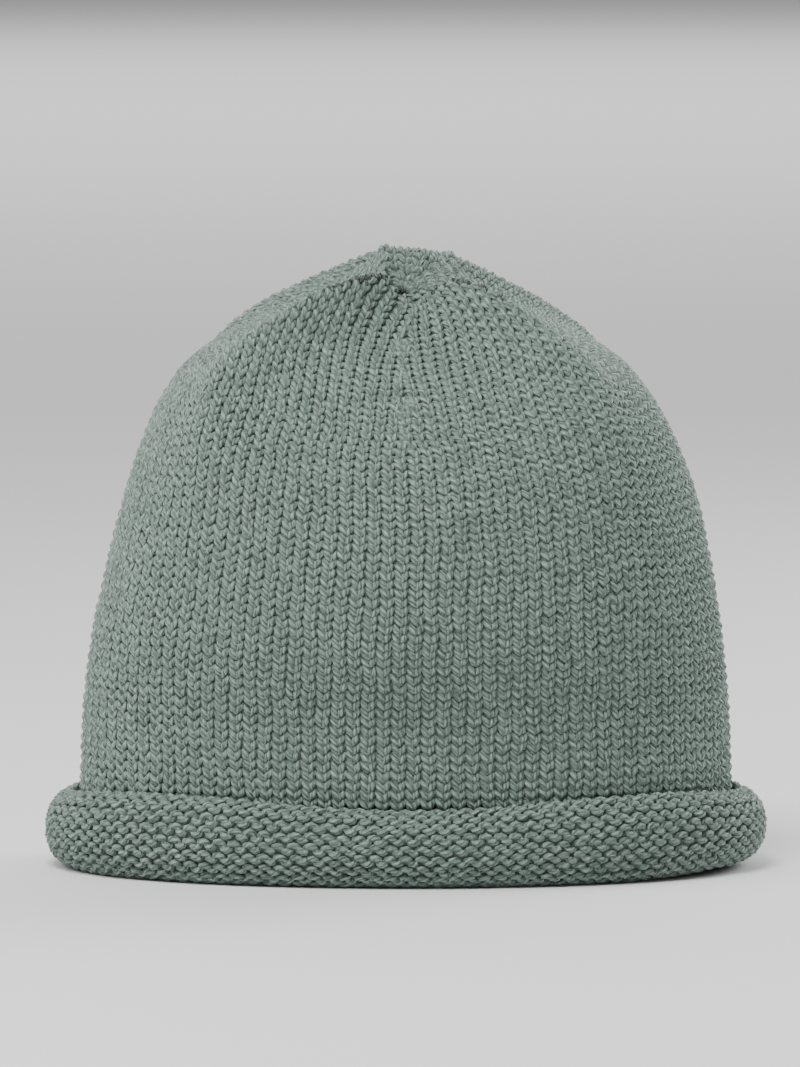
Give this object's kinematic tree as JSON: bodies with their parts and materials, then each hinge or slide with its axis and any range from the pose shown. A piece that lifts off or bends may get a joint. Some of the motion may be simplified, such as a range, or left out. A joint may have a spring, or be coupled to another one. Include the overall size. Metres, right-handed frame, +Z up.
{
  "type": "knitted hat",
  "caption": "Close-fitting knitted wool hat with a domed crown gathered to a point and an outward-curling rolled edge round the head opening.",
  "frame": {"origin": "centre of the oval head opening, on the surface the hat rests on", "axes": "+X to the right across the hat as seen from the front, -Y towards the front, +Z up to the gathered top"},
  "size_m": [0.2302, 0.1282, 0.198],
  "materials": {
    "wool_knit": "matt sage grey-green wool, stocking stitch, plied yarn",
    "wool_purl_roll": "matt sage grey-green wool, purl side outwards, plied yarn"
  },
  "bodies": {
    "root": {"crown": "wool_knit", "rolled_brim": "wool_purl_roll"}
  },
  "joints": []
}
